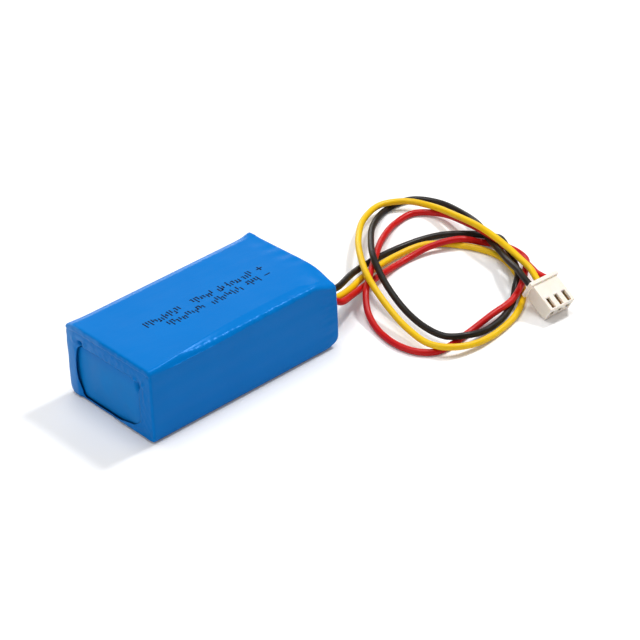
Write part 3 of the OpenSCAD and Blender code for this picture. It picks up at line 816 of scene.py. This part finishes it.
def tube(name, path, side, up, r_out, r_in):
    """A closed tube with a bore along a path."""
    rings = len(path)
    verts, faces = [], []
    for radius, sides in ((r_out, LEAD_SIDES), (r_in, BORE_SIDES)):
        for i in range(rings):
            for k in range(sides):
                a = math.tau * k / sides
                verts.append(path[i] + radius * (math.cos(a) * side[i] + math.sin(a) * up[i]))
    bore = rings * LEAD_SIDES
    faces += grid_faces(rings, LEAD_SIDES, True)
    faces += [tuple(bore + v for v in f) for f in grid_faces(rings, BORE_SIDES, True)]
    for i in (0, rings - 1):
        outer = [i * LEAD_SIDES + k for k in range(LEAD_SIDES)]
        inner = [bore + i * BORE_SIDES + k for k in range(BORE_SIDES)]
        a = b = 0
        while a < LEAD_SIDES or b < BORE_SIDES:
            if b == BORE_SIDES or (a < LEAD_SIDES and (a + 1) / LEAD_SIDES <= (b + 1) / BORE_SIDES):
                faces.append((outer[a % LEAD_SIDES], outer[(a + 1) % LEAD_SIDES], inner[b % BORE_SIDES]))
                a += 1
            else:
                faces.append((outer[a % LEAD_SIDES], inner[(b + 1) % BORE_SIDES], inner[b % BORE_SIDES]))
                b += 1
    obj = mesh_object(name, verts, faces)
    sharpen(obj, 50)
    return obj


def span_ends(colour, span):
    """First and last ring centre of a CAD span."""
    line = ring_centres(f"{colour}_lead_{span}")
    return line[0], line[-1]


def nearest(path, point):
    return int(np.argmin(np.linalg.norm(path - point, axis=1)))


BEND = 1.15             # how far from the joints at its ends the loop piece stops, in mm, rounded up to whole rings and one more
BODIES = {"tail": "pack", "elbow": "lead_elbow", "coil": "lead_coil", "neck": "plug_neck", "end": "plug"}


def build_lead(colour):
    line = lead_centreline(colour)
    path = resample(line, STEP)
    side, up = carried_frames(path)
    lo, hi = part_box(f"{colour}_lead_tail")
    r_out = (hi.z - lo.z) / 2 / MM * LEAD_FILL
    r_in = r_out * BORE_SHARE
    # where each CAD span starts and ends on this path
    ends = {}
    for span in SPANS:
        a, b = sorted(nearest(path, q) for q in span_ends(colour, span))
        ends[span] = (a, b)
    cuts = [(ends[SPANS[i]][1] + ends[SPANS[i + 1]][0]) // 2 for i in range(4)]
    reach = math.ceil(BEND / STEP) + 1
    elbow_mid = (cuts[0] + cuts[1]) // 2
    neck_mid = (cuts[2] + cuts[3]) // 2
    coil_from = cuts[1] + reach
    coil_to = cuts[2] - reach
    last = len(path) - 1
    pieces = [
        ("pack_end", 0, elbow_mid, cuts[0], ("tail", "elbow")),
        ("lift_bend", elbow_mid, coil_from, cuts[1], ("elbow", "coil")),
        ("loop", coil_from, coil_to, None, ("coil",)),
        ("tilt_bend", coil_to, neck_mid, cuts[2], ("coil", "neck")),
        ("plug_end", neck_mid, last, cuts[3], ("neck", "end")),
    ]
    for label, first, end, cut, spans in pieces:
        part = slice(first, end + 1)
        obj = tube(f"{colour}_lead_{label}", path[part], side[part], up[part], r_out, r_in)
        paint(obj, LEAD[colour])
        if cut is None:
            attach(obj, BODIES[spans[0]])
        else:
            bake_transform(obj)
    stood = {"pack_end": "tail", "lift_bend": "elbow", "loop": "coil", "tilt_bend": "neck", "plug_end": "end"}
    for label, span in stood.items():
        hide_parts(f"{colour}_lead_{span}")


for colour in ("black", "yellow", "red"):
    build_lead(colour)


# ---------------------------------------------------------------- plug

MOULD_R = 0.13          # radius of the housing's edges, in mm


def build_plug():
    """The CAD housing's shape with its mould radii, also round every opening."""
    source = nodes["plug_housing"].data
    mesh = source.copy()
    obj = bpy.data.objects.new("plug_shell", mesh)
    bpy.context.scene.collection.objects.link(obj)
    bm = bmesh.new()
    bm.from_mesh(mesh)
    bmesh.ops.remove_doubles(bm, verts=bm.verts, dist=1e-6)
    bmesh.ops.dissolve_limit(bm, angle_limit=math.radians(1), verts=bm.verts, edges=bm.edges)
    edges = [e for e in bm.edges if len(e.link_faces) == 2 and e.calc_face_angle(0) > math.radians(40)]
    bmesh.ops.bevel(
        bm, geom=edges, offset=MOULD_R * MM, offset_type="OFFSET", segments=3, profile=0.5,
        affect="EDGES", clamp_overlap=True,
    )
    bmesh.ops.recalc_face_normals(bm, faces=bm.faces)
    for f in bm.faces:
        f.smooth = True
    bm.to_mesh(mesh)
    bm.free()
    if mesh.has_custom_normals:
        mesh.normals_split_custom_set([(0, 0, 0)] * len(mesh.loops))
    obj.modifiers.new("flat_faces", "WEIGHTED_NORMAL").keep_sharp = True
    paint(obj, NYLON)
    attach(obj, "plug")
    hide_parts("plug_housing")


build_plug()


# ---------------------------------------------------------------- stage, light and camera

def floor_material():
    s = Surface("floor")
    tone = s.spread(s.noise(40.0), 0.3, 0.7, 0.0, 1.0)
    paper = s.mix(tone, srgb(249, 249, 249), srgb(251, 251, 251))
    # darker where the glossy film would mirror it
    s.colour(s.mix(s.node("ShaderNodeLightPath").outputs["Is Glossy Ray"], paper, srgb(165, 165, 168)))
    s.roughness(s.spread(s.noise(20.0), 0.3, 0.7, 0.75, 0.85))
    # painted light for the camera: the floor glows more with distance, as the lights fall off there, and a
    # little near the pack, which lightens its shadow
    reach = s.node("ShaderNodeVectorMath")
    reach.operation = "LENGTH"
    s.link(s.coords, reach.inputs[0])
    far = s.spread(reach.outputs["Value"], 0.2, 1.0, 0.08, 0.75)
    glow = s.maths("MULTIPLY", far, s.node("ShaderNodeLightPath").outputs["Is Camera Ray"])
    s.bsdf.inputs["Emission Color"].default_value = (1, 1, 1, 1)
    s.link(glow, s.bsdf.inputs["Emission Strength"])
    return s.material


def build_floor():
    size, level = 3000, -0.05       # mm: the floor lies just under the pack's base
    verts = [(-size, -size, level), (size, -size, level), (size, size, level), (-size, size, level)]
    floor = mesh_object("floor", verts, [(0, 1, 2, 3)], False)
    paint(floor, floor_material())


build_floor()


def area_light(name, place, target, size, power):
    light = bpy.data.lights.new(name, "AREA")
    light.shape = "ELLIPSE"
    light.size, light.size_y = size
    light.energy = power
    obj = bpy.data.objects.new(name, light)
    bpy.context.scene.collection.objects.link(obj)
    obj.location = place
    obj.rotation_euler = (Vector(target) - Vector(place)).to_track_quat("-Z", "Y").to_euler()
    obj.visible_camera = False


centre = (0.03, -0.005, 0.01)
area_light("top_light", (0.02, 0.10, 0.80), centre, (0.5, 0.5), 3.2)
area_light("rim_light", (0.45, -0.02, 0.62), centre, (0.12, 0.12), 2.8)
area_light("front_light", (0.05, -0.75, 0.22), centre, (0.5, 0.3), 0.12)
area_light("end_light", (-0.70, 0.05, 0.30), centre, (0.5, 0.3), 0.75)
area_light("back_light", (0.42, 0.62, 0.18), centre, (0.55, 0.16), 0.8)

# White for the camera, a soft fill for diffuse light, and dark where the glossy film would mirror it
world = bpy.data.worlds.new("studio")
world.use_nodes = True
tree = world.node_tree
sky = tree.nodes["Background"]
sky.inputs["Color"].default_value = (1, 1, 1, 1)
ray = tree.nodes.new("ShaderNodeLightPath")
strength = tree.nodes.new("ShaderNodeMapRange")
strength.inputs["To Min"].default_value = 0.28
strength.inputs["To Max"].default_value = 0.03
tree.links.new(ray.outputs["Is Glossy Ray"], strength.inputs["Value"])
camera_share = tree.nodes.new("ShaderNodeMath")
camera_share.operation = "MAXIMUM"
tree.links.new(strength.outputs["Result"], camera_share.inputs[0])
tree.links.new(ray.outputs["Is Camera Ray"], camera_share.inputs[1])
tree.links.new(camera_share.outputs[0], sky.inputs["Strength"])
scene = bpy.context.scene
scene.world = world
scene.view_settings.view_transform = "Standard"

AZIMUTH, ELEVATION, ROLL = 41.29, 33.27, -2.15     # degrees: the camera stands off to -X and -Y, above
DISTANCE = 0.6348                                   # metres
LENS, SENSOR = 148.8, 36                            # mm
LOOK_AT = Vector((0.0327, -0.0035, 0.0))
camera = bpy.data.cameras.new("camera")
camera.lens = LENS
camera.sensor_width = SENSOR
camera.clip_start, camera.clip_end = 0.01, 20
camera_object = bpy.data.objects.new("camera", camera)
scene.collection.objects.link(camera_object)
a, e = math.radians(AZIMUTH), math.radians(ELEVATION)
view = Vector((math.sin(a) * math.cos(e), math.cos(a) * math.cos(e), -math.sin(e)))
camera_object.location = LOOK_AT - view * DISTANCE
turn = view.to_track_quat("-Z", "Y").to_matrix().to_4x4() @ Matrix.Rotation(math.radians(ROLL), 4, "Z")
camera_object.matrix_world = Matrix.Translation(camera_object.location) @ turn
scene.camera = camera_object
